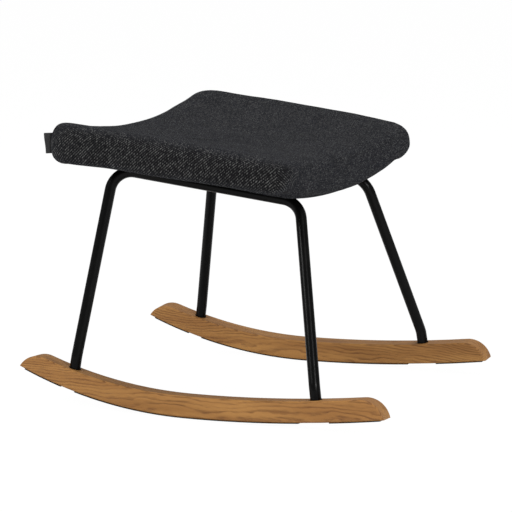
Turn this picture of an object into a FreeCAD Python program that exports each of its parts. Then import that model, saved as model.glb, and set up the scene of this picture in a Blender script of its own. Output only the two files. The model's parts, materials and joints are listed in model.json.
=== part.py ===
import FreeCAD, Part
import Sketcher

import math
import os

from FreeCAD import Placement, Rotation, Vector

# Rocking footstool: a padded saddle seat on two bent steel tubes, which stand on two ash rockers.
# X runs along the rockers, Y from the near rocker to the far one, Z up. The origin is on the floor
# under the middle of the stool, and the stool is in the balance that it stands in by itself.

# Driving dimensions in millimetres and degrees
SIZES = {
    "rocker_left_reach": 283.5,
    "rocker_right_reach": 283.5,
    "rocker_balance_x": -20.0,
    "rocker_radius_left": 678.0,
    "rocker_radius_right": 2083.0,
    "rocker_top_radius_left": 690.0,
    "rocker_top_radius_right": 2053.0,
    "rocker_depth": 30.5,
    "rocker_thickness": 30.0,
    "rocker_end_radius": 34.0,
    "rocker_edge_bevel": 1.6,
    "rocker_spacing": 446.2,
    "rocker_lean": 3.4,
    "strip_thickness": 1.2,
    "strip_width": 28.0,
    "strip_left_start": -275.0,
    "strip_left_end": -216.0,
    "strip_middle_start": -194.0,
    "strip_middle_end": 157.0,
    "strip_right_start": 203.0,
    "strip_right_end": 278.0,
    "tube_diameter": 16.0,
    "tube_wall": 1.5,
    "leg_foot_left": -200.1,
    "leg_foot_right": 177.2,
    "leg_foot_tilt_left": 8.5,
    "leg_foot_tilt_right": -8.0,
    "leg_foot_length": 18.0,
    "leg_foot_bend": 32.0,
    "rail_bend": 32.0,
    "rail_left_x": -153.2,
    "rail_left_y": 178.1,
    "rail_left_z": 345.9,
    "rail_right_x": 115.7,
    "rail_right_y": 129.8,
    "rail_right_z": 304.8,
    "plug_flange_diameter": 17.4,
    "plug_flange_thickness": 3.0,
    "plug_length": 16.0,
    "plug_clearance": 0.1,
    "foot_recess_depth": 1.8,
    "foot_recess_diameter": 18.0,
    "bolt_diameter": 8.0,
    "bolt_length": 35.0,
    "bolt_head_diameter": 13.0,
    "bolt_head_height": 8.0,
    "bolt_key_width": 6.0,
    "bolt_key_depth": 4.0,
    "bolt_hole_diameter": 8.8,
    "bolt_seat_depth": 17.0,
    "counterbore_diameter": 20.0,
    "washer_diameter": 17.0,
    "washer_thickness": 1.6,
    "seat_left_x": -217.0,
    "seat_right_x": 147.0,
    "seat_half_width_left": 273.0,
    "seat_half_width_right": 272.0,
    "seat_ridge_left": 56.5,
    "seat_ridge_middle": 65.0,
    "seat_ridge_right": 67.5,
    "seat_valley_left": 31.0,
    "seat_valley_middle": 44.0,
    "seat_valley_right": 57.0,
    "seat_rim_left": 0.5,
    "seat_rim_middle": 13.5,
    "seat_rim_right": 24.5,
    "seat_ridge_radius": 25.0,
    "seat_rim_radius": 13.0,
    "seat_end_round_left": 36.0,
    "seat_end_round_right": 30.0,
    "seat_end_drop": 16.0,
    "seat_corner_left": 34.0,
    "seat_corner_right": 46.0,
    "shell_middle_x": -35.0,
    "shell_length": 325.0,
    "shell_width": 444.0,
    "shell_thickness": 9.0,
    "shell_curve_radius": 1400.0,
    "shell_corner_radius": 34.0,
    "shell_rest_gap": 0.3,
    "dust_cover_thickness": 0.8,
    "dust_cover_inset": 4.0,
    "strap_left_x": -115.0,
    "strap_right_x": 70.0,
    "strap_width": 30.0,
    "strap_thickness": 4.0,
    "strap_end_overlap": 4.5,
    "strap_gap": 0.3,
    "seat_screw_y": 88.0,
    "seat_screw_diameter": 6.0,
    "seat_screw_length": 12.0,
    "seat_screw_head_diameter": 11.0,
    "seat_screw_head_height": 3.2,
    "nut_flange_diameter": 19.0,
    "nut_flange_thickness": 1.2,
    "nut_barrel_diameter": 8.0,
    "nut_length": 8.0,
    "fastener_clearance": 0.3,
    "thread_clearance": 0.05,
    "label_height": 31.0,
    "label_reach": 16.0,
    "label_cloth": 0.8,
    "label_fold_gap": 0.6,
    "label_y": -249.0,
    "label_root": 5.0,
    "label_above_rail_line": 22.0,
}
SIDES = {"near": -1, "far": 1}
UP = Vector(0, 0, 1)

doc = FreeCAD.newDocument("RockingFootstool")
sheet = doc.addObject("Spreadsheet::Sheet", "Sizes")
for row, (alias, value) in enumerate(SIZES.items(), start=1):
    sheet.set(f"A{row}", alias.replace("_", " "))
    sheet.set(f"B{row}", str(value))
    sheet.setAlias(f"B{row}", alias)
doc.recompute()


def size(alias):
    """A driving dimension, read back from the sheet."""
    return float(sheet.get(alias))


def bind(feature, prop, alias):
    """Tie a size of a feature to a formula of the sheet's cells, written with the aliases alone."""
    words = alias.replace("(", " ( ").replace(")", " ) ").split()
    feature.setExpression(prop, " ".join(f"Sizes.{word}" if word in SIZES else word for word in words))


def new_body(name):
    body = doc.addObject("PartDesign::Body", name)
    body.Label = name
    return body


def new_sketch(body, name, role, offset=Placement()):
    """A sketch on one of the body's own origin planes."""
    plane = next(item for item in body.Origin.OriginFeatures if item.Role == role)
    sketch = body.newObject("Sketcher::SketchObject", name)
    sketch.AttachmentSupport = [(plane, "")]
    sketch.MapMode = "FlatFace"
    sketch.AttachmentOffset = offset
    return sketch


def bind_constraint(sketch, kind, index, value, alias):
    """A dimension of a sketch that follows the sheet."""
    number = sketch.addConstraint(Sketcher.Constraint(kind, index, value))
    bind(sketch, f"Constraints[{number}]", alias)


def join_ends(sketch, count):
    """Close a loop of edges that were added end to end."""
    for index in range(count):
        sketch.addConstraint(Sketcher.Constraint("Coincident", index, 2, (index + 1) % count, 1))


def polygon(sketch, points):
    """A closed outline of straight edges."""
    for start, end in zip(points, points[1:] + points[:1]):
        sketch.addGeometry(Part.LineSegment(Vector(*start, 0), Vector(*end, 0)), False)
    join_ends(sketch, len(points))


def symmetric_pad(body, sketch, name, length):
    pad = body.newObject("PartDesign::Pad", name)
    pad.Profile = sketch
    pad.SideType = "Symmetric"
    bind(pad, "Length", length)
    return pad


def turned(body, sketch, name):
    """A solid of revolution about the sketch's upright axis."""
    turn = body.newObject("PartDesign::Revolution", name)
    turn.Profile = sketch
    turn.ReferenceAxis = (sketch, ["V_Axis"])
    turn.Angle = 360
    return turn


def cylinder(name, diameter, height, place):
    tool = doc.addObject("Part::Cylinder", name)
    bind(tool, "Radius", f"( {diameter} ) / 2")
    bind(tool, "Height", height)
    tool.Placement = place
    return tool


def cut(name, base, tools):
    """The base less all of the tools, as a sub-part of its own."""
    if len(tools) == 1:
        joined = tools[0]
    else:
        joined = doc.addObject("Part::MultiFuse", name + "_tools")
        joined.Shapes = tools
    result = doc.addObject("Part::Cut", name)
    result.Base = base
    result.Tool = joined
    result.Label = name
    return result


def along(point, direction, distance=0.0):
    """The place at a distance along an axis, with Z turned onto the axis."""
    return Placement(point + direction * distance, Rotation(UP, direction))


def copies(name, master, places):
    """Identical fasteners as separate solids of one node."""
    group = doc.addObject("Part::Feature", name)
    group.Label = name
    group.Shape = Part.makeCompound([master.Shape.transformed(place.Matrix) for place in places])
    return group


# Rockers: two tangent arcs below, the same centres above, rounded-over ends
BALANCE = size("rocker_balance_x")
DEPTH = size("rocker_depth")
LEAN = size("rocker_lean")
RADIUS_LEFT = size("rocker_radius_left")
RADIUS_RIGHT = size("rocker_radius_right")


def arc_radius(along_x):
    """The radius of the underside on this side of the balance point."""
    return RADIUS_LEFT if along_x < 0 else RADIUS_RIGHT


def top_radius(along_x):
    return size("rocker_top_radius_left") if along_x < 0 else size("rocker_top_radius_right")


def underside_point(along_x):
    """A point of the rocker's underside, in the rocker's own plane."""
    radius = arc_radius(along_x)
    return Vector(along_x, radius - math.sqrt(radius**2 - along_x**2), 0)


def top_point(along_x):
    """A point of the rocker's top, whose arcs are level above the balance point."""
    radius = top_radius(along_x)
    return Vector(along_x, DEPTH + radius - math.sqrt(radius**2 - along_x**2), 0)


def rocker_end(tip_x):
    """The points of a rounded-over end: where it leaves the top, its middle, and its tip.

    Its circle passes through the tip and touches the top's arc from below.
    """
    tip = underside_point(tip_x)
    end_radius = size("rocker_end_radius")
    top_centre = Vector(0, DEPTH + top_radius(tip_x), 0)
    reach = top_radius(tip_x) + end_radius
    span = (tip - top_centre).Length
    from_top = (span**2 + reach**2 - end_radius**2) / (2 * span)
    aside = math.sqrt(reach**2 - from_top**2)
    line = (tip - top_centre).normalize()
    inward = Vector(-line.y, line.x, 0) * math.copysign(1, line.y * tip_x)
    centre = top_centre + line * from_top + inward * aside
    top = top_centre + (centre - top_centre).normalize() * top_radius(tip_x)
    halfway = (top - centre) + (tip - centre)
    return top, centre + halfway * (end_radius / halfway.Length), tip


def rocker_outline(sketch):
    left_x = -size("rocker_left_reach") - BALANCE
    right_x = size("rocker_right_reach") - BALANCE
    top_left, round_left, tip_left = rocker_end(left_x)
    top_right, round_right, tip_right = rocker_end(right_x)
    low = Vector(0, 0, 0)
    high = Vector(0, DEPTH, 0)
    edges = [
        Part.Arc(tip_left, underside_point(left_x / 2), low),
        Part.Arc(low, underside_point(right_x / 2), tip_right),
        Part.Arc(tip_right, round_right, top_right),
        Part.Arc(top_right, top_point(right_x / 2), high),
        Part.Arc(high, top_point(left_x / 2), top_left),
        Part.Arc(top_left, round_left, tip_left),
    ]
    for edge in edges:
        sketch.addGeometry(edge, False)
    bind_constraint(sketch, "Radius", 0, RADIUS_LEFT, "rocker_radius_left")
    bind_constraint(sketch, "Radius", 1, RADIUS_RIGHT, "rocker_radius_right")
    bind_constraint(sketch, "Radius", 2, size("rocker_end_radius"), "rocker_end_radius")
    bind_constraint(sketch, "Radius", 3, size("rocker_top_radius_right"), "rocker_top_radius_right")
    bind_constraint(sketch, "Radius", 4, size("rocker_top_radius_left"), "rocker_top_radius_left")
    bind_constraint(sketch, "Radius", 5, size("rocker_end_radius"), "rocker_end_radius")


def foot_axis(which):
    """A leg's foot in the rocker's own plane: where its axis meets the top, and its tilt."""
    along_x = size(f"leg_foot_{which}") - BALANCE
    return along_x, top_point(along_x).y, size(f"leg_foot_tilt_{which}")


def rocker_place(side):
    """The rocker's plane leans inward, and the inner edge of its strips touches the floor."""
    lean = math.radians(LEAN)
    rise = size("strip_thickness") * math.cos(lean) + size("strip_width") / 2 * math.sin(lean)
    base = Vector(BALANCE, side * size("rocker_spacing") / 2, rise)
    return Placement(base, Rotation(Vector(1, 0, 0), side * LEAN))


def foot_place(side, which, distance=0.0):
    """The place on a leg's foot axis, a distance above the rocker's top, with Z up the axis."""
    along_x, top, tilt = foot_axis(which)
    local = Placement(Vector(along_x, 0, top), Rotation(Vector(0, 1, 0), tilt))
    return rocker_place(side) * local * Placement(Vector(0, 0, distance), Rotation())


def rocker(name, side):
    body = new_body(name)
    outline = new_sketch(body, name + "_outline", "XZ_Plane")
    rocker_outline(outline)
    blank = symmetric_pad(body, outline, name + "_blank", "rocker_thickness")
    doc.recompute()
    half = size("rocker_thickness") / 2
    rims = [
        f"Edge{number}"
        for number, edge in enumerate(blank.Shape.Edges, start=1)
        if all(abs(abs(vertex.Y) - half) < 0.01 for vertex in edge.Vertexes)
        and abs(edge.Vertexes[0].Y - edge.Vertexes[-1].Y) < 0.01
    ]
    arris = body.newObject("PartDesign::Chamfer", name + "_arris")
    arris.Base = (blank, rims)
    bind(arris, "Size", "rocker_edge_bevel")
    for which in ("left", "right"):
        foot_hole(body, name, which)
    body.Placement = rocker_place(side)
    return body


def foot_hole(body, name, which):
    """Recess for a leg's plug, bolt hole and counterbore, turned about the foot's axis."""
    along_x, top, tilt = foot_axis(which)
    offset = Placement(Vector(along_x, top, 0), Rotation(UP, -tilt))
    profile = new_sketch(body, f"{name}_hole_{which}", "XZ_Plane", offset)
    bore = size("bolt_hole_diameter") / 2
    recess = size("foot_recess_diameter") / 2
    counterbore = size("counterbore_diameter") / 2
    floor = -size("foot_recess_depth")
    seat = -size("bolt_seat_depth")
    beyond = 2 * DEPTH
    polygon(profile, [
        (0, -beyond), (counterbore, -beyond), (counterbore, seat), (bore, seat),
        (bore, floor), (recess, floor), (recess, DEPTH), (0, DEPTH),
    ])
    groove = body.newObject("PartDesign::Groove", f"{name}_bored_{which}")
    groove.Profile = profile
    groove.ReferenceAxis = (profile, ["V_Axis"])
    groove.Angle = 360


def grip_strip(name, side, start_x, end_x):
    """A thin strip that follows the rocker's underside, with square ends."""
    body = new_body(name)
    thickness = size("strip_thickness")
    stations = [start_x, end_x] if start_x * end_x > 0 else [start_x, 0.0, end_x]
    spans = list(zip(stations, stations[1:]))
    outline = new_sketch(body, name + "_outline", "XZ_Plane")
    wood = [Part.Arc(*[strip_point(a, b, share, 0.0) for share in (0.0, 0.5, 1.0)]) for a, b in spans]
    floor = [Part.Arc(*[strip_point(a, b, share, thickness) for share in (1.0, 0.5, 0.0)])
             for a, b in reversed(spans)]
    right = Part.LineSegment(wood[-1].EndPoint, floor[0].StartPoint)
    left = Part.LineSegment(floor[-1].EndPoint, wood[0].StartPoint)
    for edge in wood + [right] + floor + [left]:
        outline.addGeometry(edge, False)
    symmetric_pad(body, outline, name + "_strip", "strip_width")
    body.Placement = rocker_place(side)
    return body


def strip_point(start_x, end_x, share, below):
    """A point of a strip: at a share of its span, a distance below the wood."""
    radius = arc_radius(start_x + end_x)
    start = math.asin(start_x / radius)
    angle = start + (math.asin(end_x / radius) - start) * share
    return Vector((radius + below) * math.sin(angle), radius - (radius + below) * math.cos(angle), 0)


# Frame: each side is one steel tube, bent into a foot, a leg, the rail under the seat, a leg and a foot
RAIL_TOP = size("tube_diameter") / 2
RAIL_SLOPE = (size("rail_right_z") - size("rail_left_z")) / (size("rail_right_x") - size("rail_left_x"))
RAIL_TAPER = (size("rail_right_y") - size("rail_left_y")) / (size("rail_right_x") - size("rail_left_x"))


def rail_corner(side, which):
    return Vector(size(f"rail_{which}_x"), side * size(f"rail_{which}_y"), size(f"rail_{which}_z"))


def rail_y(x):
    """How far the rails' centrelines are from the middle of the stool."""
    return size("rail_left_y") + RAIL_TAPER * (x - size("rail_left_x"))


def rail_line(x):
    """The height of the rails' tops, which the seat follows."""
    return size("rail_left_z") + RAIL_TOP + RAIL_SLOPE * (x - size("rail_left_x"))


def bent_path(points, bends):
    """Straight runs between the points, joined by tangent arcs of the given radii."""
    edges = []
    start = points[0]
    for before, corner, after, radius in zip(points, points[1:], points[2:], bends):
        back = (before - corner).normalize()
        ahead = (after - corner).normalize()
        half_angle = back.getAngle(ahead) / 2
        reach = radius / math.tan(half_angle)
        bisector = (back + ahead).normalize()
        middle = corner + bisector * (radius / math.sin(half_angle) - radius)
        edges.append(Part.LineSegment(start, corner + back * reach).toShape())
        edges.append(Part.Arc(corner + back * reach, middle, corner + ahead * reach).toShape())
        start = corner + ahead * reach
    edges.append(Part.LineSegment(start, points[-1]).toShape())
    return Part.Wire(edges)


def tube_path(side):
    """The tube's centreline, from the left foot over the rail to the right foot."""
    foot_top = size("plug_flange_thickness") - size("foot_recess_depth")
    feet = {which: foot_place(side, which, foot_top).Base for which in ("left", "right")}
    ankles = {which: foot_place(side, which, size("leg_foot_length")).Base for which in ("left", "right")}
    points = [
        feet["left"], ankles["left"], rail_corner(side, "left"),
        rail_corner(side, "right"), ankles["right"], feet["right"],
    ]
    foot_bend = size("leg_foot_bend")
    rail_bend = size("rail_bend")
    return bent_path(points, [foot_bend, rail_bend, rail_bend, foot_bend])


def pipe(path, radius):
    start = path.Edges[0].valueAt(path.Edges[0].FirstParameter)
    direction = path.Edges[0].tangentAt(path.Edges[0].FirstParameter)
    ring = Part.Wire([Part.Circle(start, direction, radius).toShape()])
    return path.makePipeShell([ring], True, False)


def frame_tube(name, side):
    """A hollow tube along a centreline that no flat sketch holds, since its two legs splay differently."""
    path = tube_path(side)
    outer = size("tube_diameter") / 2
    feature = doc.addObject("Part::Feature", name)
    feature.Label = name
    feature.Shape = pipe(path, outer).cut(pipe(path, outer - size("tube_wall")))
    return feature


def leg_plug(name, side, which):
    """The threaded plug of a leg's open end: a flange that stands in the rocker's recess, and a spigot."""
    body = new_body(name)
    profile = new_sketch(body, name + "_profile", "XZ_Plane")
    bore = size("bolt_diameter") / 2 + size("thread_clearance")
    spigot = size("tube_diameter") / 2 - size("tube_wall") - size("plug_clearance")
    flange = size("plug_flange_diameter") / 2
    shoulder = size("plug_flange_thickness")
    top = shoulder + size("plug_length")
    polygon(profile, [(bore, 0), (flange, 0), (flange, shoulder), (spigot, shoulder), (spigot, top), (bore, top)])
    turned(body, profile, name + "_turned")
    body.Placement = foot_place(side, which, -size("foot_recess_depth"))
    return body


def bolt_master():
    """Socket-head bolt: the origin under the head, the shank up, a hexagon socket below."""
    body = new_body("bolt_master")
    profile = new_sketch(body, "bolt_profile", "XZ_Plane")
    shank = size("bolt_diameter") / 2
    head = size("bolt_head_diameter") / 2
    height = size("bolt_head_height")
    tip = size("bolt_length")
    point = shank / 4
    polygon(profile, [
        (0, -height), (head, -height), (head, 0), (shank, 0),
        (shank, tip - point), (shank - point, tip), (0, tip),
    ])
    turned(body, profile, "bolt_turned")
    doc.recompute()
    key = new_sketch(body, "bolt_key", "XY_Plane", Placement(Vector(0, 0, -height), Rotation()))
    corner = size("bolt_key_width") / math.sqrt(3)
    polygon(key, [(corner * math.cos(math.radians(60 * n)), corner * math.sin(math.radians(60 * n)))
                  for n in range(6)])
    socket = body.newObject("PartDesign::Pocket", "bolt_socket")
    socket.Profile = key
    socket.Reversed = True
    bind(socket, "Length", "bolt_key_depth")
    return body


def washer_master():
    """Plain washer: the origin in its lower face."""
    body = new_body("washer_master")
    face = new_sketch(body, "washer_face", "XY_Plane")
    for alias in ("washer_diameter", "bolt_hole_diameter"):
        number = face.addGeometry(Part.Circle(Vector(0, 0, 0), UP, size(alias) / 2), False)
        face.addConstraint(Sketcher.Constraint("Coincident", number, 3, -1, 1))
        bind_constraint(face, "Radius", number, size(alias) / 2, f"{alias} / 2")
    pad = body.newObject("PartDesign::Pad", "washer_pad")
    pad.Profile = face
    bind(pad, "Length", "washer_thickness")
    return body


# Seat: sections across the stool, each at its own place along X, give the saddle its form
SEAT_LEFT = size("seat_left_x")
SEAT_RIGHT = size("seat_right_x")
SEAT_MIDDLE = (SEAT_LEFT + SEAT_RIGHT) / 2


def seat_share(x):
    """Minus one at the seat's left end, nought in its middle, one at its right end."""
    return (x - SEAT_MIDDLE) / (SEAT_RIGHT - SEAT_MIDDLE)


def three_way(name, x):
    """A height that runs smoothly through its left, middle and right values."""
    left, middle, right = (size(f"{name}_{which}") for which in ("left", "middle", "right"))
    share = seat_share(x)
    return middle + (right - left) / 2 * share + ((left + right) / 2 - middle) * share**2


def shell_low(x):
    """The shell's underside in the middle of the stool, above the rails' line at that x."""
    rest = size("shell_rest_gap") + size("dust_cover_thickness")
    ends = [rest - size(f"rail_{which}_y") ** 2 / (2 * size("shell_curve_radius")) for which in ("left", "right")]
    share = (x - size("rail_left_x")) / (size("rail_right_x") - size("rail_left_x"))
    return ends[0] + (ends[1] - ends[0]) * share


def shell_line(x):
    """The height of the shell's underside in the middle of the stool."""
    return rail_line(x) + shell_low(x)


# The shell's own frame: its origin on the underside at the shell's middle, X down the seat's slope
SHELL_MIDDLE = size("shell_middle_x")
SHELL_TILT = math.degrees(math.atan((shell_line(SEAT_LEFT) - shell_line(SEAT_RIGHT)) / (SEAT_RIGHT - SEAT_LEFT)))
SHELL_PLACE = Placement(Vector(SHELL_MIDDLE, 0, shell_line(SHELL_MIDDLE)), Rotation(Vector(0, 1, 0), SHELL_TILT))


def round_off(distance, reach):
    """How much of a rounding is still missing at a distance from its edge, from one down to nought."""
    missing = max(0.0, 1 - distance / reach)
    return 1 - math.sqrt(1 - missing**2)


def seat_half_width(x):
    """Half the seat's width, drawn in towards its rounded corners."""
    share = (seat_share(x) + 1) / 2
    half = size("seat_half_width_left") * (1 - share) + size("seat_half_width_right") * share
    half -= size("seat_corner_left") * round_off(x - SEAT_LEFT, size("seat_corner_left"))
    half -= size("seat_corner_right") * round_off(SEAT_RIGHT - x, size("seat_corner_right"))
    return half


def seat_end_drop(x):
    """How far the top comes down, and the underside up, where the ends round over."""
    at_left = round_off(x - SEAT_LEFT, size("seat_end_round_left"))
    at_right = round_off(SEAT_RIGHT - x, size("seat_end_round_right"))
    return size("seat_end_drop") * max(at_left, at_right)


def seat_section(sketch, x):
    """One closed section of eight edges: dished top, two ridges, two sides, two rims, curved underside."""
    drop = seat_end_drop(x)
    half = seat_half_width(x)
    line = rail_line(x)
    ridge = line + three_way("seat_ridge", x) - drop
    valley = line + three_way("seat_valley", x) - drop
    rim = line + three_way("seat_rim", x) + drop
    low = shell_line(x) + drop
    tall = ridge - rim
    ridge_radius = min(size("seat_ridge_radius"), 0.55 * tall)
    rim_radius = min(size("seat_rim_radius"), 0.35 * tall)
    top_radius = dish_radius(half - ridge_radius, ridge - valley, ridge_radius)
    base_radius = hull_radius(half - rim_radius, rim - low, rim_radius)

    ridge_centre = Vector(half - ridge_radius, ridge - ridge_radius, 0)
    rim_centre = Vector(half - rim_radius, rim + rim_radius, 0)
    top_centre = Vector(0, valley + top_radius, 0)
    base_centre = Vector(0, low + base_radius, 0)
    ridge_in = ridge_centre + (top_centre - ridge_centre).normalize() * ridge_radius
    rim_in = rim_centre + (rim_centre - base_centre).normalize() * rim_radius
    ridge_side = ridge_centre + Vector(ridge_radius, 0, 0)
    rim_side = rim_centre + Vector(rim_radius, 0, 0)
    ridge_top = arc_middle(ridge_centre, ridge_radius, ridge_in, ridge_side)
    rim_low = arc_middle(rim_centre, rim_radius, rim_in, rim_side)
    edges = [
        Part.Arc(mirrored(ridge_in), Vector(0, valley, 0), ridge_in),
        Part.Arc(ridge_in, ridge_top, ridge_side),
        Part.LineSegment(ridge_side, rim_side),
        Part.Arc(rim_side, rim_low, rim_in),
        Part.Arc(rim_in, Vector(0, low, 0), mirrored(rim_in)),
        Part.Arc(mirrored(rim_in), mirrored(rim_low), mirrored(rim_side)),
        Part.LineSegment(mirrored(rim_side), mirrored(ridge_side)),
        Part.Arc(mirrored(ridge_side), mirrored(ridge_top), mirrored(ridge_in)),
    ]
    for edge in edges:
        sketch.addGeometry(edge, False)


def dish_radius(reach, depth, ridge_radius):
    """Radius of the hollow arc through the valley that runs tangent into the ridges."""
    below = ridge_radius - depth
    return (reach**2 + below**2 - ridge_radius**2) / (2 * depth)


def hull_radius(reach, rise, rim_radius):
    """Radius of the underside's arc that runs tangent into the rims."""
    above = rise + rim_radius
    return (reach**2 + above**2 - rim_radius**2) / (2 * rise)


def mirrored(point):
    return Vector(-point.x, point.y, 0)


def arc_middle(centre, radius, start, end):
    halfway = (start - centre) + (end - centre)
    return centre + halfway * (radius / halfway.Length)


def band_section(sketch, half_width, top, bottom):
    """A bent band across the stool between two distances from the shell's underside, upward positive."""
    radius = size("shell_curve_radius")
    angle = math.asin(half_width / radius)

    def point(share, above):
        turn = angle * share
        return Vector(math.sin(turn) * (radius - above), radius - math.cos(turn) * (radius - above), 0)

    upper = Part.Arc(point(-1, top), point(0, top), point(1, top))
    lower = Part.Arc(point(1, bottom), point(0, bottom), point(-1, bottom))
    sketch.addGeometry(upper, False)
    sketch.addGeometry(Part.LineSegment(point(1, top), point(1, bottom)), False)
    sketch.addGeometry(lower, False)
    sketch.addGeometry(Part.LineSegment(point(-1, bottom), point(-1, top)), False)


def bent_band(name, half_width, top, bottom, length):
    """A band that is bent across the stool and runs straight along it, in the shell's own frame."""
    body = new_body(name)
    section = new_sketch(body, name + "_section", "YZ_Plane")
    band_section(section, half_width, top, bottom)
    symmetric_pad(body, section, name + "_drawn", length)
    body.Placement = SHELL_PLACE
    return body


# Where the seat's sections lie: as shares of its end roundings from the end inward, and evenly between
ROUNDING_STEPS = (0.0, 0.05, 0.16, 0.36, 0.65, 1.0)
LONG_STEPS = 8


def seat_block():
    """The outer form of the upholstered pad: full sections between two rounded ends."""
    left = size("seat_corner_left")
    right = size("seat_corner_right")
    left_steps = [SEAT_LEFT + left * share for share in ROUNDING_STEPS]
    right_steps = [SEAT_RIGHT - right * share for share in reversed(ROUNDING_STEPS)]
    body = new_body("seat_block")
    full = [left_steps[-1] + (right_steps[0] - left_steps[-1]) * number / LONG_STEPS
            for number in range(1, LONG_STEPS)]
    stations = left_steps + full + right_steps
    sections = []
    for number, x in enumerate(stations):
        section = new_sketch(body, f"seat_section_{number}", "YZ_Plane", Placement(Vector(0, 0, x), Rotation()))
        seat_section(section, x)
        sections.append(section)
    feature = body.newObject("PartDesign::AdditiveLoft", "seat_block_loft")
    feature.Profile = sections[0]
    feature.Sections = sections[1:]
    feature.Ruled = True
    return body


def rounded_plan(name, inset):
    """A block whose plan is the shell's outline, drawn in by an inset, with round corners."""
    half_x = size("shell_length") / 2 - inset
    half_y = size("shell_width") / 2 - inset
    radius = size("shell_corner_radius") - inset
    body = new_body(name)
    plan = new_sketch(body, name + "_plan", "XY_Plane")
    arcs = []
    for side_x, side_y, start in ((-1, -1, 180), (1, -1, 270), (1, 1, 0), (-1, 1, 90)):
        centre = Vector(side_x * (half_x - radius), side_y * (half_y - radius), 0)
        turns = [math.radians(start + part) for part in (0, 45, 90)]
        arcs.append(Part.Arc(*[centre + Vector(math.cos(turn), math.sin(turn), 0) * radius for turn in turns]))
    for number, arc in enumerate(arcs):
        plan.addGeometry(arc, False)
        bind_constraint(plan, "Radius", 2 * number, radius, f"shell_corner_radius - {inset}")
        plan.addGeometry(Part.LineSegment(arc.EndPoint, arcs[(number + 1) % 4].StartPoint), False)
    symmetric_pad(body, plan, name + "_tall", "shell_width / 2")
    body.Placement = SHELL_PLACE
    return body


def shell_blank(name, top, bottom, inset=0.0):
    """A bent panel with rounded corners, between two distances from the shell's underside."""
    panel = doc.addObject("Part::Common", name)
    panel.Base = rounded_plan(name + "_outline", inset)
    panel.Tool = bent_band(name + "_band", size("shell_width") / 2 + DEPTH, top, bottom, "1.2 * shell_length")
    return panel


def screw_places(distance=0.0, straps=("left", "right")):
    """The seat's screw axes, square to the shell, at a distance above its underside."""
    radius = size("shell_curve_radius")
    places = []
    for strap in straps:
        for side in SIDES.values():
            turn = math.asin(side * size("seat_screw_y") / radius)
            inward = Vector(0, -math.sin(turn), math.cos(turn))
            spot = Vector(size(f"strap_{strap}_x") - SHELL_MIDDLE, 0, radius) - inward * radius
            places.append(SHELL_PLACE * along(spot, inward, distance))
    return places


# The nuts' flanges lie just below the shell's upper face, the straps just below the dust cover
NUT_TOP = size("shell_thickness") - size("fastener_clearance")
STRAP_TOP = -size("dust_cover_thickness") - size("strap_gap")
STRAP_UNDER = STRAP_TOP - size("strap_thickness")


def seat_shell():
    """Moulded plywood shell with stepped holes for the four T-nuts."""
    blank = shell_blank("seat_shell_blank", size("shell_thickness"), 0.0)
    tools = []
    flange_floor = NUT_TOP - size("nut_flange_thickness")
    for number, place in enumerate(screw_places(-5.0)):
        tools.append(cylinder(f"shell_hole_{number}", "nut_barrel_diameter + fastener_clearance",
                              "shell_thickness + 10", place))
    for number, place in enumerate(screw_places(flange_floor)):
        tools.append(cylinder(f"shell_seat_{number}", "nut_flange_diameter + fastener_clearance",
                              "shell_thickness", place))
    return cut("seat_shell", blank, tools)


def seat_cushion():
    """Foam under woven fabric, hollowed below so that the shell lies inside its rim."""
    hollow = shell_blank("seat_hollow", size("shell_thickness"), -3 * size("shell_thickness"))
    return cut("seat_cushion", seat_block(), [hollow])


def dust_cover():
    """Black cloth that closes the shell's underside."""
    below = -size("dust_cover_thickness")
    blank = shell_blank("dust_cover_blank", 0.0, below, size("dust_cover_inset"))
    tools = [cylinder(f"cover_hole_{number}", "nut_barrel_diameter", "shell_thickness", place)
             for number, place in enumerate(screw_places(-size("shell_thickness") / 2))]
    return cut("dust_cover", blank, tools)


def strap(name, which):
    """A flat steel strap, bent to the shell, welded between the two rails."""
    middle = size(f"strap_{which}_x")
    half_width = rail_y(middle) - size("strap_end_overlap")
    blank = bent_band(name + "_blank", half_width, STRAP_TOP, STRAP_UNDER, "strap_width")
    blank.Placement = SHELL_PLACE * Placement(Vector(middle - SHELL_MIDDLE, 0, 0), Rotation())
    tools = [cylinder(f"{name}_hole_{number}", "seat_screw_diameter + 2 * fastener_clearance",
                      "4 * strap_thickness", place)
             for number, place in enumerate(screw_places(-3 * size("strap_thickness"), [which]))]
    for label, side in SIDES.items():
        start = rail_corner(side, "left")
        run = rail_corner(side, "right") - start
        rail = cylinder(f"{name}_rail_{label}", "tube_diameter", "rail_right_x - rail_left_x",
                        along(start, run.normalize()))
        tools.append(rail)
    return cut(name, blank, tools)


def screw_master():
    """Low round-head screw: the origin under the head, the shank up."""
    body = new_body("screw_master")
    profile = new_sketch(body, "screw_profile", "XZ_Plane")
    shank = size("seat_screw_diameter") / 2
    head = size("seat_screw_head_diameter") / 2
    height = size("seat_screw_head_height")
    crown = height / 2
    polygon(profile, [
        (0, -height), (head - crown, -height), (head, -crown), (head, 0),
        (shank, 0), (shank, size("seat_screw_length")), (0, size("seat_screw_length")),
    ])
    turned(body, profile, "screw_turned")
    return body


def nut_master():
    """T-nut: the origin at the barrel's lower end, the flange on top."""
    body = new_body("nut_master")
    profile = new_sketch(body, "nut_profile", "XZ_Plane")
    bore = size("seat_screw_diameter") / 2 + size("thread_clearance")
    barrel = size("nut_barrel_diameter") / 2
    flange = size("nut_flange_diameter") / 2
    top = size("nut_length")
    under = top - size("nut_flange_thickness")
    polygon(profile, [(bore, 0), (barrel, 0), (barrel, under), (flange, under), (flange, top), (bore, top)])
    turned(body, profile, "nut_turned")
    return body


def flip(point):
    return Vector(point.x, -point.y, 0)


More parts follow.
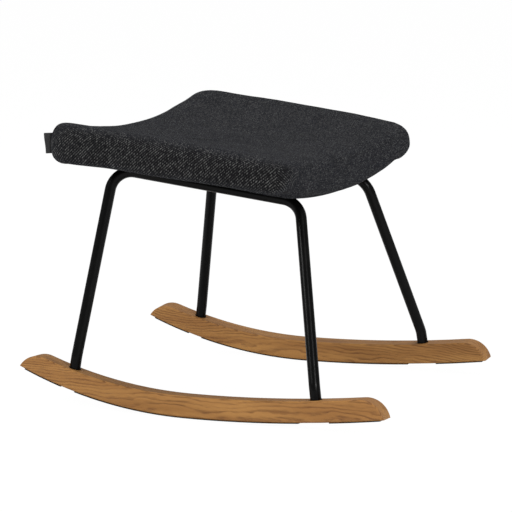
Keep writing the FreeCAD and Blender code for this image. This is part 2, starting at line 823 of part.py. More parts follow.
def label_loop(name, cushion):
    """A bare folded cloth loop, sewn to the seat's left end near its near corner."""
    body = new_body(name + "_cloth")
    cloth = size("label_cloth")
    gap = size("label_fold_gap")
    reach = size("label_reach")
    half = cloth + gap / 2
    plan = new_sketch(body, name + "_plan", "XY_Plane")
    root_outer = Vector(0, half, 0)
    fold_outer = Vector(-reach + half, half, 0)
    fold_inner = Vector(-reach + half, gap / 2, 0)
    root_inner = Vector(0, gap / 2, 0)
    tip_outer = Vector(-reach, 0, 0)
    tip_inner = Vector(-reach + cloth, 0, 0)
    edges = [
        Part.LineSegment(root_outer, fold_outer),
        Part.Arc(fold_outer, tip_outer, flip(fold_outer)),
        Part.LineSegment(flip(fold_outer), flip(root_outer)),
        Part.LineSegment(flip(root_outer), flip(root_inner)),
        Part.LineSegment(flip(root_inner), flip(fold_inner)),
        Part.Arc(flip(fold_inner), tip_inner, fold_inner),
        Part.LineSegment(fold_inner, root_inner),
        Part.LineSegment(root_inner, root_outer),
    ]
    for edge in edges:
        plan.addGeometry(edge, False)
    symmetric_pad(body, plan, name + "_loop", "label_height")
    height = rail_line(SEAT_LEFT) + size("label_above_rail_line")
    body.Placement = Placement(Vector(SEAT_LEFT + size("label_root"), size("label_y"), height), Rotation())
    return cut(name, body, [cushion])


nodes = []
for label, side in SIDES.items():
    nodes.append(rocker(f"rocker_{label}", side))
    for part in ("left", "middle", "right"):
        start_x = size(f"strip_{part}_start") - BALANCE
        end_x = size(f"strip_{part}_end") - BALANCE
        nodes.append(grip_strip(f"grip_strip_{label}_{part}", side, start_x, end_x))
    nodes.append(frame_tube(f"frame_tube_{label}", side))
    for which in ("left", "right"):
        nodes.append(leg_plug(f"leg_plug_{label}_{which}", side, which))

seat = seat_cushion()
nodes += [seat, seat_shell(), dust_cover(), label_loop("label_loop", seat)]
nodes += [strap("cross_strap_left", "left"), strap("cross_strap_right", "right")]

bolt = bolt_master()
washer = washer_master()
screw = screw_master()
nut = nut_master()
doc.recompute()

feet = [(side, which) for side in SIDES.values() for which in ("left", "right")]
washer_under = -size("bolt_seat_depth") - size("washer_thickness")
nodes.append(copies("rocker_bolts", bolt, [foot_place(*foot, washer_under) for foot in feet]))
nodes.append(copies("rocker_washers", washer, [foot_place(*foot, washer_under) for foot in feet]))
nodes.append(copies("seat_screws", screw, screw_places(STRAP_UNDER)))
nodes.append(copies("seat_t_nuts", nut, screw_places(NUT_TOP - size("nut_length"))))
doc.recompute()

failed = [item.Label for item in doc.Objects if {"Invalid", "Error"} & set(item.State)]
if failed:
    raise RuntimeError("these objects did not rebuild: " + ", ".join(failed))
for node in nodes:
    if node.Shape.isNull() or not node.Shape.isValid():
        raise RuntimeError(node.Label + " has no valid shape")

os.makedirs("parts", exist_ok=True)
for node in nodes:
    node.Shape.exportStep(os.path.join("parts", node.Label + ".step"))
    print(node.Label, len(node.Shape.Solids), "solids", round(node.Shape.Volume), "mm3")
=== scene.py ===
import json
import math

import bmesh
import bpy
from mathutils import Matrix, Vector, noise
from mathutils.bvhtree import BVHTree


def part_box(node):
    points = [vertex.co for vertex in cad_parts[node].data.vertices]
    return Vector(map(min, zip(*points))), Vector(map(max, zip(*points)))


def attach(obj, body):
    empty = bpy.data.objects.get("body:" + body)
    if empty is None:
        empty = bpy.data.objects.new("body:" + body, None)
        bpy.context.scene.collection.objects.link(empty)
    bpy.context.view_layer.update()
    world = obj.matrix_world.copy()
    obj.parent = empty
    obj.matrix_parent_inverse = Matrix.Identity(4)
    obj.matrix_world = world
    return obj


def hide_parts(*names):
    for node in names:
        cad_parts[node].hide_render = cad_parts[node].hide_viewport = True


# Rocking footstool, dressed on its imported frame. Metres, X along the rockers, Z up.
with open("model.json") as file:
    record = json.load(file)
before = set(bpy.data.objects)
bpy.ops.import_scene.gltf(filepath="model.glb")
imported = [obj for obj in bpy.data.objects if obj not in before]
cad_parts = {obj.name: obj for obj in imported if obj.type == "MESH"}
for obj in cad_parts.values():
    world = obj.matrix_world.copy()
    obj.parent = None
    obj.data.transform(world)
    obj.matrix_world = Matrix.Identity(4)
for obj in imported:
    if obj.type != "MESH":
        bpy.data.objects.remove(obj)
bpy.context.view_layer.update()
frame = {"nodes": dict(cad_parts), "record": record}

# The photograph's view
VIEW_CENTRE = Vector((-0.01986, 0.02652, 0.19489))
VIEW_DISTANCE = 3.891
VIEW_AZIMUTH = math.radians(23.33)
VIEW_ELEVATION = math.radians(9.45)
VIEW_ROLL = math.radians(-0.15)
SENSOR_WIDTH = 36.0
FOCAL_LENGTH = 182.2


# Node helpers

# A Mix node's colour sockets, by index because their names repeat
MIX_FACTOR = 0
MIX_FIRST = 6
MIX_SECOND = 7
MIX_RESULT = 2


def feed(tree, socket, value):
    """Join an input to another node's output, or set it to a value."""
    if isinstance(value, bpy.types.NodeSocket):
        tree.links.new(value, socket)
    else:
        socket.default_value = value


def add(tree, kind, inputs=None, **settings):
    """A node with its settings, and with its inputs joined to sockets or set to values."""
    node = tree.nodes.new(kind)
    for name, value in settings.items():
        setattr(node, name, value)
    for name, value in (inputs or {}).items():
        feed(tree, node.inputs[name], value)
    return node


def maths(tree, operation, *values):
    node = add(tree, "ShaderNodeMath", dict(enumerate(values)), operation=operation)
    return node.outputs[0]


def vector_maths(tree, operation, *values):
    node = add(tree, "ShaderNodeVectorMath", dict(enumerate(values)), operation=operation)
    return node.outputs["Vector"]


def blend_colour(tree, factor, first, second, mode="MIX"):
    node = tree.nodes.new("ShaderNodeMix")
    node.data_type = "RGBA"
    node.blend_type = mode
    for index, value in ((MIX_FACTOR, factor), (MIX_FIRST, first), (MIX_SECOND, second)):
        feed(tree, node.inputs[index], value)
    return node.outputs[MIX_RESULT]


def remap(tree, value, low, high, to_low=0.0, to_high=1.0, smooth=True):
    node = add(tree, "ShaderNodeMapRange", {"Value": value, "From Min": low, "From Max": high,
                                            "To Min": to_low, "To Max": to_high})
    node.interpolation_type = "SMOOTHSTEP" if smooth else "LINEAR"
    return node.outputs["Result"]


def clouds(tree, vector, scale, detail=2.0, roughness=0.5):
    node = add(tree, "ShaderNodeTexNoise", {"Vector": vector, "Scale": scale, "Detail": detail,
                                            "Roughness": roughness})
    return node.outputs["Fac"]


def new_group(name, inputs, outputs):
    """An empty node group with named sockets: returns it with its inputs and its output node."""
    tree = bpy.data.node_groups.new(name, "ShaderNodeTree")
    for socket, kind, default in inputs:
        made = tree.interface.new_socket(name=socket, in_out="INPUT", socket_type="NodeSocket" + kind)
        if default is not None:
            made.default_value = default
    for socket, kind in outputs:
        tree.interface.new_socket(name=socket, in_out="OUTPUT", socket_type="NodeSocket" + kind)
    return tree, tree.nodes.new("NodeGroupInput").outputs, tree.nodes.new("NodeGroupOutput").inputs


def placed(tree, group, inputs):
    """A node group in a tree, with its inputs set; returns its outputs."""
    node = tree.nodes.new("ShaderNodeGroup")
    node.node_tree = group
    for name, value in inputs.items():
        feed(tree, node.inputs[name], value)
    return node.outputs


def new_material(name):
    """A material with an empty node tree: returns the tree and the texture coordinates."""
    material = bpy.data.materials.new(name)
    material.use_nodes = True
    material.node_tree.nodes.clear()
    place = material.node_tree.nodes.new("ShaderNodeTexCoord").outputs
    return material.node_tree, place


def finish_material(name, colour, roughness, height, depth, constants):
    """The shader of a material, with a bump from the height; the constants go on its own sockets."""
    tree = colour.id_data
    bump = add(tree, "ShaderNodeBump", {"Height": height, "Distance": depth, "Strength": 1.0})
    shader = add(tree, "ShaderNodeBsdfPrincipled", {"Base Color": colour, "Roughness": roughness,
                                                    "Normal": bump.outputs["Normal"]})
    for socket, value in constants.items():
        shader.inputs[socket].default_value = value
    output = tree.nodes.new("ShaderNodeOutputMaterial")
    tree.links.new(shader.outputs["BSDF"], output.inputs["Surface"])
    return bpy.data.materials[name]


# Shared effects

# Twill: the crossings in one repeat, and the share of its height that a float keeps at its ends
TWILL_REPEAT = 4.0
FLOAT_END = 0.35

# Yarn: how many times a metre its tone changes across and along the thread
ACROSS_YARN = 520.0
ALONG_YARN = 75.0

# How the rockers were sawn: the pith's distance beside the board, and the board's tilt to the rings
PITH_ASIDE = 0.045
BOARD_TILT = 0.045

# The rings' long sway, as a multiple of Wander, and their short ripple in metres
RING_SWAY = 6.0
RING_RIPPLE = 0.0060


def stretched(tree, vector, x, y, z):
    """The place again, at this many units per metre along each axis."""
    return vector_maths(tree, "MULTIPLY", vector, (x, y, z))


def choose(tree, mask, if_one, if_zero):
    """One value where the mask is 1 and the other where it is 0."""
    opposite = maths(tree, "SUBTRACT", 1.0, mask)
    return maths(tree, "ADD", maths(tree, "MULTIPLY", mask, if_one),
                 maths(tree, "MULTIPLY", opposite, if_zero))


def thread_height(tree, across, start, along):
    """The height of a round thread that rises and falls over two crossings, counted from its start."""
    turn = maths(tree, "MULTIPLY", maths(tree, "ADD", start, along), math.pi / 2)
    bow = remap(tree, maths(tree, "SINE", turn), 0.0, 1.0, FLOAT_END, 1.0, False)
    round_across = maths(tree, "SINE", maths(tree, "MULTIPLY", across, math.pi))
    return maths(tree, "MULTIPLY", round_across, bow)


def twill_group():
    """Two-over-two twill: each thread passes over two and under two, a step aside in each row."""
    tree, inputs, outputs = new_group(
        "twill weave",
        [("Vector", "Vector", None), ("Thread", "Float", 0.001)],
        [("Height", "Float"), ("Warp", "Float"), ("Gap", "Float"), ("Yarn", "Float")],
    )
    pitch = add(tree, "ShaderNodeCombineXYZ", {"X": inputs["Thread"], "Y": inputs["Thread"], "Z": 1.0})
    scaled = vector_maths(tree, "DIVIDE", inputs["Vector"], pitch.outputs[0])
    axes = add(tree, "ShaderNodeSeparateXYZ", {"Vector": scaled}).outputs
    column = maths(tree, "FLOOR", axes["X"])
    row = maths(tree, "FLOOR", axes["Y"])
    across = maths(tree, "FRACT", axes["X"])
    along = maths(tree, "FRACT", axes["Y"])
    step = maths(tree, "SUBTRACT", column, row)
    phase = maths(tree, "FLOORED_MODULO", step, TWILL_REPEAT)
    repeat = maths(tree, "FLOOR", maths(tree, "DIVIDE", step, TWILL_REPEAT))
    # Phases 0 and 1 have the warp on top, phases 2 and 3 the weft
    warp = maths(tree, "LESS_THAN", phase, 1.5)
    warp_height = thread_height(tree, across, maths(tree, "SUBTRACT", 1.0, phase), along)
    weft_height = thread_height(tree, along, maths(tree, "SUBTRACT", phase, 2.0), across)
    height = choose(tree, warp, warp_height, weft_height)
    name = add(tree, "ShaderNodeCombineXYZ", {"X": choose(tree, warp, column, row), "Y": repeat, "Z": warp})
    yarn = add(tree, "ShaderNodeTexWhiteNoise", {"Vector": name.outputs[0]}, noise_dimensions="3D")
    tree.links.new(height, outputs["Height"])
    tree.links.new(warp, outputs["Warp"])
    # Gap is 0 where the threads lie low and 1 on their tops; it is the mask for the painted shade between the
    # threads
    tree.links.new(remap(tree, height, 0.10, 0.65), outputs["Gap"])
    tree.links.new(yarn.outputs["Value"], outputs["Yarn"])
    return tree


def fleck_group():
    """Short light fibres, threads that swell and thin along their run, and slow changes of tone."""
    tree, inputs, outputs = new_group(
        "yarn fleck",
        [("Vector", "Vector", None), ("Size", "Float", 0.0015)],
        [("Fleck", "Float"), ("Slub", "Float"), ("Tone", "Float")],
    )
    place = inputs["Vector"]
    fine = add(tree, "ShaderNodeTexNoise", {"Vector": place, "Detail": 3.0, "Roughness": 0.65,
                                            "Scale": maths(tree, "DIVIDE", 1.0, inputs["Size"])})
    lengthwise = clouds(tree, stretched(tree, place, ACROSS_YARN, ALONG_YARN, 1.0), 1.0, 1.0)
    crosswise = clouds(tree, stretched(tree, place, ALONG_YARN, ACROSS_YARN, 1.0), 1.0, 1.0)
    slub = maths(tree, "MULTIPLY", remap(tree, lengthwise, 0.32, 0.68),
                 remap(tree, crosswise, 0.25, 0.75, 0.5, 1.5))
    tree.links.new(remap(tree, fine.outputs["Fac"], 0.52, 0.68), outputs["Fleck"])
    tree.links.new(slub, outputs["Slub"])
    tree.links.new(clouds(tree, place, 22.0, 3.0), outputs["Tone"])
    return tree


def ring_distance(tree, place, spacing, wander):
    """The distance from the pith beside each board, with the rings' long sway and short ripple."""

    def centred(value):
        return maths(tree, "SUBTRACT", value, 0.5)

    axes = add(tree, "ShaderNodeSeparateXYZ", {"Vector": place}).outputs
    side = maths(tree, "SIGN", axes["Y"])
    board = maths(tree, "MULTIPLY", side, spacing)
    aside = maths(tree, "SUBTRACT", maths(tree, "SUBTRACT", axes["Y"], board), PITH_ASIDE)
    long_waves = centred(clouds(tree, stretched(tree, place, 4.0, 3.0, 3.0), 1.0, 1.0))
    sway = maths(tree, "MULTIPLY", long_waves, maths(tree, "MULTIPLY", wander, RING_SWAY))
    tilt = maths(tree, "MULTIPLY", maths(tree, "MULTIPLY", axes["X"], side), BOARD_TILT)
    above = maths(tree, "ADD", maths(tree, "ADD", axes["Z"], sway), tilt)
    squared = maths(tree, "ADD", maths(tree, "MULTIPLY", aside, aside), maths(tree, "MULTIPLY", above, above))
    short_waves = centred(clouds(tree, stretched(tree, place, 22.0, 70.0, 70.0), 1.0, 2.0))
    ripple = maths(tree, "MULTIPLY", short_waves, RING_RIPPLE)
    return maths(tree, "ADD", maths(tree, "SQRT", squared), ripple)


def grain_group():
    """Growth rings round a pith beside the board: long lines that wander and open into arches."""
    tree, inputs, outputs = new_group(
        "wood grain",
        [("Vector", "Vector", None), ("Ring", "Float", 0.0026), ("Spacing", "Float", 0.22),
         ("Wander", "Float", 0.010)],
        [("Line", "Float"), ("Pores", "Float"), ("Tone", "Float")],
    )
    place = inputs["Vector"]
    distance = ring_distance(tree, place, inputs["Spacing"], inputs["Wander"])
    ring = maths(tree, "FRACT", maths(tree, "DIVIDE", distance, inputs["Ring"]))
    line = maths(tree, "MULTIPLY", remap(tree, ring, 0.0, 0.16), remap(tree, ring, 0.20, 0.66, 1.0, 0.0))
    patches = clouds(tree, stretched(tree, place, 12.0, 90.0, 90.0), 1.0, 2.0)
    dashes = clouds(tree, stretched(tree, place, 75.0, 1300.0, 1300.0), 1.0, 1.0)
    shown = maths(tree, "MULTIPLY", line, remap(tree, patches, 0.34, 0.60, 0.25, 1.0))
    open_pores = maths(tree, "MULTIPLY", remap(tree, dashes, 0.52, 0.66),
                       remap(tree, line, 0.0, 1.0, 0.25, 1.0))
    tree.links.new(shown, outputs["Line"])
    tree.links.new(open_pores, outputs["Pores"])
    tree.links.new(clouds(tree, stretched(tree, place, 6.0, 50.0, 50.0), 1.0, 3.0), outputs["Tone"])
    return tree


def grit_group():
    """Fine even roughness of a coating or a drawn metal, with a little dust on it."""
    tree, inputs, outputs = new_group(
        "coating grit",
        [("Vector", "Vector", None), ("Size", "Float", 0.0006)],
        [("Grit", "Float"), ("Dust", "Float")],
    )
    fine = add(tree, "ShaderNodeTexNoise", {"Vector": inputs["Vector"], "Detail": 2.0,
                                            "Scale": maths(tree, "DIVIDE", 1.0, inputs["Size"])})
    tree.links.new(fine.outputs["Fac"], outputs["Grit"])
    tree.links.new(remap(tree, clouds(tree, inputs["Vector"], 35.0, 4.0), 0.45, 0.75), outputs["Dust"])
    return tree


TWILL = twill_group()
FLECK = fleck_group()
GRAIN = grain_group()
GRIT = grit_group()


# Materials

# The plywood's veneers, half of the label tape's length, and where the seam's shadow on it starts and ends
VENEER = 0.0015
HALF_TAPE = 0.0157
SEAM_SHADOW = (0.0068, 0.0084)


def charcoal_twill():
    """The seat's coarse charcoal cloth: black weft, and a warp in which light threads turn up."""
    tree, place = new_material("charcoal twill")
    weave = placed(tree, TWILL, {"Vector": place["UV"], "Thread": 0.00105})
    yarn = placed(tree, FLECK, {"Vector": place["UV"], "Size": 0.0026})
    lightness = maths(tree, "POWER", weave["Yarn"], 2.4)
    warp = blend_colour(tree, lightness, (0.015, 0.015, 0.0155, 1), (0.138, 0.138, 0.134, 1))
    weft = blend_colour(tree, lightness, (0.0030, 0.0030, 0.0035, 1), (0.016, 0.016, 0.017, 1))
    threads = blend_colour(tree, weave["Warp"], weft, warp)
    fleck = maths(tree, "MULTIPLY", yarn["Fleck"], 0.15)
    specked = blend_colour(tree, fleck, threads, (0.075, 0.075, 0.074, 1))
    # Painted shade: where the weave lies low, between and beside the threads, the colour goes nearly black
    painted_gap_shade = blend_colour(tree, weave["Gap"], (0.0015, 0.0015, 0.002, 1), specked)
    slubs = remap(tree, yarn["Slub"], 0.0, 1.2, 0.80, 1.20, False)
    tone = maths(tree, "MULTIPLY", remap(tree, yarn["Tone"], 0.3, 0.7, 0.88, 1.1), slubs)
    shade = add(tree, "ShaderNodeCombineColor", {"Red": tone, "Green": tone, "Blue": tone}).outputs[0]
    colour = blend_colour(tree, 1.0, painted_gap_shade, shade, "MULTIPLY")
    return finish_material("charcoal twill", colour, 0.95, weave["Height"], 0.0005, {
        "Specular IOR Level": 0.05, "Sheen Weight": 0.030, "Sheen Roughness": 0.4,
        "Sheen Tint": (0.66, 0.72, 1.0, 1)})


def oiled_ash():
    """Golden-brown oiled ash, with its rings as dark wandering lines along the rocker."""
    tree, place = new_material("oiled ash")
    grain = placed(tree, GRAIN, {"Vector": place["Object"]})
    base = blend_colour(tree, remap(tree, grain["Tone"], 0.3, 0.7), (0.240, 0.108, 0.029, 1),
                        (0.330, 0.161, 0.046, 1))
    lined = blend_colour(tree, maths(tree, "MULTIPLY", grain["Line"], 0.62), base, (0.115, 0.043, 0.012, 1))
    pores = maths(tree, "MULTIPLY", grain["Pores"], 0.38)
    colour = blend_colour(tree, pores, lined, (0.080, 0.030, 0.009, 1))
    height = maths(tree, "MULTIPLY_ADD", grain["Pores"], 1.5, grain["Line"])
    return finish_material("oiled ash", colour, remap(tree, grain["Line"], 0, 1, 0.50, 0.62),
                           maths(tree, "MULTIPLY", height, -1.0), 0.00010, {"Specular IOR Level": 0.22})


def powder_coat():
    """Matte black powder coat."""
    tree, place = new_material("black powder coat")
    grit = placed(tree, GRIT, {"Vector": place["Object"], "Size": 0.0009})
    colour = blend_colour(tree, grit["Dust"], (0.0012, 0.0012, 0.0012, 1), (0.0026, 0.0026, 0.0025, 1))
    return finish_material("black powder coat", colour, remap(tree, grit["Grit"], 0.3, 0.7, 0.22, 0.32),
                           grit["Grit"], 0.00004, {"Specular IOR Level": 0.09})


def grip_rubber():
    """Matte black rubber, a little dusty."""
    tree, place = new_material("grip rubber")
    grit = placed(tree, GRIT, {"Vector": place["Object"], "Size": 0.0007})
    colour = blend_colour(tree, grit["Dust"], (0.006, 0.006, 0.006, 1), (0.018, 0.017, 0.016, 1))
    return finish_material("grip rubber", colour, 0.85, grit["Grit"], 0.0002, {"Specular IOR Level": 0.15})


def moulded_plywood():
    """Thin veneers of a pale wood, seen as bands on the shell's edge."""
    tree, place = new_material("moulded plywood")
    grain = placed(tree, GRAIN, {"Vector": place["Object"], "Ring": 0.004, "Spacing": 0.05})
    axes = add(tree, "ShaderNodeSeparateXYZ", {"Vector": place["Object"]}).outputs
    ply = maths(tree, "PINGPONG", maths(tree, "MULTIPLY_ADD", axes["X"], 0.15, axes["Z"]), VENEER)
    band = remap(tree, ply, 0.0006, 0.0009)
    base = blend_colour(tree, grain["Line"], (0.52, 0.36, 0.19, 1), (0.38, 0.23, 0.10, 1))
    colour = blend_colour(tree, maths(tree, "MULTIPLY", band, 0.45), base, (0.24, 0.14, 0.06, 1))
    return finish_material("moulded plywood", colour, 0.7, grain["Pores"], 0.0001,
                           {"Specular IOR Level": 0.3})


def lining_cloth():
    """Thin black non-woven lining, pressed in a fine dot pattern."""
    tree, place = new_material("black lining cloth")
    cells = add(tree, "ShaderNodeTexVoronoi", {"Vector": place["Object"], "Scale": 700.0}).outputs["Distance"]
    fibre = clouds(tree, place["Object"], 900.0, 3.0)
    colour = blend_colour(tree, remap(tree, fibre, 0.4, 0.7), (0.010, 0.010, 0.011, 1),
                          (0.035, 0.035, 0.037, 1))
    return finish_material("black lining cloth", colour, 0.95, cells, 0.0002, {"Specular IOR Level": 0.1})


def woven_tape():
    """Dark grey label tape with fine crosswise ribs, in shadow where both ends enter the seam."""
    tree, place = new_material("woven tape")
    rib = add(tree, "ShaderNodeTexWave", {"Vector": place["UV"], "Scale": 320.0, "Distortion": 0.4},
              bands_direction="Y").outputs["Fac"]
    yarn = placed(tree, FLECK, {"Vector": place["Object"], "Size": 0.0008})
    tone = blend_colour(tree, yarn["Fleck"], (0.022, 0.022, 0.0225, 1), (0.048, 0.048, 0.049, 1))
    ribbed = blend_colour(tree, remap(tree, rib, 0.0, 1.0, 0.0, 0.5), tone, (0.012, 0.012, 0.0125, 1))
    along = add(tree, "ShaderNodeSeparateXYZ", {"Vector": place["UV"]}).outputs["X"]
    from_end = maths(tree, "PINGPONG", along, HALF_TAPE)
    colour = blend_colour(tree, remap(tree, from_end, *SEAM_SHADOW), (0.002, 0.002, 0.002, 1), ribbed)
    return finish_material("woven tape", colour, 0.8, rib, 0.0002, {"Specular IOR Level": 0.2})


def zinc_steel():
    """Zinc-plated steel, a little stained."""
    tree, place = new_material("zinc steel")
    grit = placed(tree, GRIT, {"Vector": place["Object"], "Size": 0.0004})
    colour = blend_colour(tree, grit["Dust"], (0.55, 0.56, 0.58, 1), (0.38, 0.38, 0.37, 1))
    return finish_material("zinc steel", colour, remap(tree, grit["Grit"], 0.3, 0.7, 0.28, 0.45),
                           grit["Grit"], 0.00004, {"Metallic": 1.0})


FINISHES = {
    "ash": oiled_ash(),
    "black_tube": powder_coat(),
    "charcoal_weave": charcoal_twill(),
    "plywood": moulded_plywood(),
    "black_cloth": lining_cloth(),
    "label_tape": woven_tape(),
    "zinc_steel": zinc_steel(),
    "grip_rubber": grip_rubber(),
}


def dress_frame():
    """Give every CAD node the finish of its material slot in the record."""
    for entry in frame["record"]["subparts"]:
        node = frame["nodes"][entry["node"]]
        for material_slot in node.material_slots:
            material_slot.material = FINISHES[entry["material_slot"]]


# Seat

SEAT_LOW, SEAT_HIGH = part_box("seat_cushion")

# The plywood shell: the radius of its corners, and two places along X at which its underside is probed
SHELL_CORNER = 0.034
SHELL_PROBES = (-0.10, 0.05)

# The seat's plan: how finely its width is probed, the points of a side and of an end, and their inset
WIDTH_PROBES = 24
SIDE_POINTS = 90
END_POINTS = 60
PLAN_INSET = 0.0003

# The cloth's net: its step round the seat, its paths from the middle over the edge to the hem, and the
# distance below which its points are joined
MESH_STEP = 0.004
EDGE_DEPTH = 0.030
TOP_STEPS = 36
EDGE_STEPS = 36
RIM_STEPS = (0.0, 0.0006, 0.0018, 0.004, 0.007, 0.011, 0.016, 0.023)
UNDER_STEPS = 4
FOOT_STEPS = 8
MELT_DISTANCE = 0.00005

# The hem: how far it reaches under the shell, its thickness, and its gap to the shell
HEM_REACH = 0.0037
HEM_INSET = 0.0008
HEM_GAP = 0.0004

# Softening of the foam's edge: its rounds, and where it starts above the edge and ends before the hem
SOFTENING = 2
SOFT_ABOVE = 4
SOFT_SHORT = 3
HELD_STEPS = 6

# Plumpness of the edge, more at the left end; places run from 0 at the top to 1 at the hem
PLUMPNESS = 0.0010
END_PLUMPNESS = 0.0016
PLUMP_PLACE = 0.45
PLUMP_WIDTH = 0.35

# Each corner's tuck and fullness, by the direction that the edge faces there, in radians
TUCK_TURN = 0.24
TUCK_SPREAD = 0.09
TUCK_DEPTH = 0.0034
FULL_TURN = 0.80
FULL_SPREAD = 0.32
FULL_PLACE = 0.68
FULL_WIDTH = 0.16
CORNER_FULLNESS = 0.0032

# Unevenness of the padding, as waves per metre and their height, and two lumps with their reach and height
UNEVENNESS = ((12.0, 0.0012), (40.0, 0.0004))
LUMPS = (
    (Vector((SEAT_LOW.x + 0.045, SEAT_LOW.y + 0.004, 0.337)), 0.018, 0.0016),
    (Vector((SEAT_HIGH.x - 0.010, SEAT_HIGH.y - 0.048, 0.330)), 0.025, 0.0050),
)


def surface_of(name, place=Matrix.Identity(4)):
    """The CAD node's surface, for casting rays at it, seen from a place."""
    data = frame["nodes"][name].data
    seen = place.inverted()
    return BVHTree.FromPolygons([seen @ vertex.co for vertex in data.vertices],
                                [polygon.vertices for polygon in data.polygons])


def shell_place():
    """The shell's own frame: on its underside's middle line, with X down the seat's slope."""
    surface = surface_of("seat_shell")
    high, low = (surface.ray_cast(Vector((x, 0, 0)), Vector((0, 0, 1)))[0] for x in SHELL_PROBES)
    tilt = math.atan2(high.z - low.z, low.x - high.x)
    return Matrix.Translation(high) @ Matrix.Rotation(tilt, 4, "Y")


SEAT_SURFACE = surface_of("seat_cushion")
SHELL_PLACE = shell_place()
SHELL_SURFACE = surface_of("seat_shell", SHELL_PLACE)
SHELL_POINTS = [SHELL_PLACE.inverted() @ vertex.co for vertex in frame["nodes"]["seat_shell"].data.vertices]
SHELL_LOW = Vector([min(point[axis] for point in SHELL_POINTS) for axis in range(3)])
SHELL_HIGH = Vector([max(point[axis] for point in SHELL_POINTS) for axis in range(3)])


def hit_height(surface, x, y, from_above):
    """The height at which an upright ray first meets the surface."""
    start = Vector((x, y, 1.0 if from_above else -1.0))
    hit = surface.ray_cast(start, Vector((0, 0, -1 if from_above else 1)))[0]
    return None if hit is None else hit.z


def half_width(x):
    """How far the seat reaches to the side at this x."""
    reach = 0.0
    for step in range(WIDTH_PROBES):
        z = SEAT_LOW.z + (SEAT_HIGH.z - SEAT_LOW.z) * (step + 0.5) / WIDTH_PROBES
        hit = SEAT_SURFACE.ray_cast(Vector((x, 1.0, z)), Vector((0, -1, 0)))[0]
        if hit is not None:
            reach = max(reach, hit.y)
    return reach


def seat_outline():
    """Evenly spaced points round the seat's plan."""
    left = SEAT_LOW.x + PLAN_INSET
    length = SEAT_HIGH.x - PLAN_INSET - left
    stations = [left + length * (1 - math.cos(math.pi * n / SIDE_POINTS)) / 2 for n in range(SIDE_POINTS + 1)]
    far = [Vector((x, half_width(x) - PLAN_INSET, 0)) for x in stations]
    near = [Vector((point.x, -point.y, 0)) for point in reversed(far)]
    right_end = [far[-1].lerp(near[0], n / END_POINTS) for n in range(1, END_POINTS)]
    left_end = [near[-1].lerp(far[0], n / END_POINTS) for n in range(1, END_POINTS)]
    return even_loop(far + right_end + near + left_end, MESH_STEP)


def even_loop(loop, step):
    """The closed loop again, in equal steps of about the given length."""
    lengths = [(loop[(n + 1) % len(loop)] - loop[n]).length for n in range(len(loop))]
    total = sum(lengths)
    count = round(total / step)
    points = []
    index = 0
    passed = 0.0
    for n in range(count):
        goal = total * n / count
        while passed + lengths[index] < goal:
            passed += lengths[index]
            index += 1
        share = (goal - passed) / lengths[index]
        points.append(loop[index].lerp(loop[(index + 1) % len(loop)], share))
    return points


def outward(points):
    """The directions square to a clockwise loop, smoothed over its neighbours."""
    count = len(points)
    neighbours = 3
    directions = []
    for n in range(count):
        run = points[(n + neighbours) % count] - points[n - neighbours]
        directions.append(Vector((-run.y, run.x, 0)).normalized())
    return directions


def shell_outline(edge, inset):
    """In the shell's frame, the point of its outline that is nearest to a point of the seat's edge."""
    middle = (SHELL_LOW + SHELL_HIGH) / 2
    half = (SHELL_HIGH - SHELL_LOW) / 2
    away = SHELL_PLACE.inverted() @ Vector((edge.x, edge.y, SHELL_PLACE.translation.z)) - middle
    away.z = 0
    limit_x = half.x - SHELL_CORNER
    limit_y = half.y - SHELL_CORNER
    core = Vector((max(-limit_x, min(limit_x, away.x)), max(-limit_y, min(limit_y, away.y)), 0))
    found = core + (away - core).normalized() * (SHELL_CORNER - inset)
    return Vector((middle.x + found.x, middle.y + found.y, 0))


def rim_point(edge, inset, above=0.0, on_top=False):
    """A point at the shell's rim: its distance in from the outline, and above the underside or the top."""
    plan = shell_outline(edge, inset)
    probe = shell_outline(edge, max(inset, HEM_INSET))
    plan.z = hit_height(SHELL_SURFACE, probe.x, probe.y, on_top) + above
    return SHELL_PLACE @ plan


def seat_paths(outline, directions):
    """For each point of the outline, the line of points from the seat's middle over its edge to the shell."""
    middle_x = (SEAT_LOW.x + SEAT_HIGH.x) / 2
    spine = (SEAT_HIGH.y - SEAT_LOW.y) / 2 - (SEAT_HIGH.x - SEAT_LOW.x) / 2
    paths = []
    for edge, direction in zip(outline, directions):
        base = edge - direction * EDGE_DEPTH
        heart = Vector((middle_x, max(-spine, min(spine, edge.y)), 0))
        top = on_seat([heart.lerp(base, n / TOP_STEPS) for n in range(TOP_STEPS)], True)
        over = on_seat([base] + [edge - direction * step for step in reversed(RIM_STEPS)], True)
        foot = rim_point(edge, -HEM_GAP)
        foot.z = 0
        turn = edge - direction * RIM_STEPS[UNDER_STEPS]
        below = [edge - direction * step for step in RIM_STEPS[:UNDER_STEPS]]
        below += [turn.lerp(foot, n / FOOT_STEPS) for n in range(1, FOOT_STEPS)]
        paths.append(top + even_line(over + on_seat(below, False), EDGE_STEPS) + hem(edge))
    return paths


def on_seat(plan, from_above):
    """Points of the plan, lifted onto the seat's top or its underside."""
    return [Vector((spot.x, spot.y, hit_height(SEAT_SURFACE, spot.x, spot.y, from_above))) for spot in plan]


def even_line(points, count):
    """An open line of points again, in equal steps."""
    lengths = [0.0]
    for before, after in zip(points, points[1:]):
        lengths.append(lengths[-1] + (after - before).length)
    line = []
    index = 1
    for n in range(count + 1):
        goal = lengths[-1] * n / count
        while index < len(points) - 1 and lengths[index] < goal:
            index += 1
        share = (goal - lengths[index - 1]) / (lengths[index] - lengths[index - 1])
        line.append(points[index - 1].lerp(points[index], share))
    return line


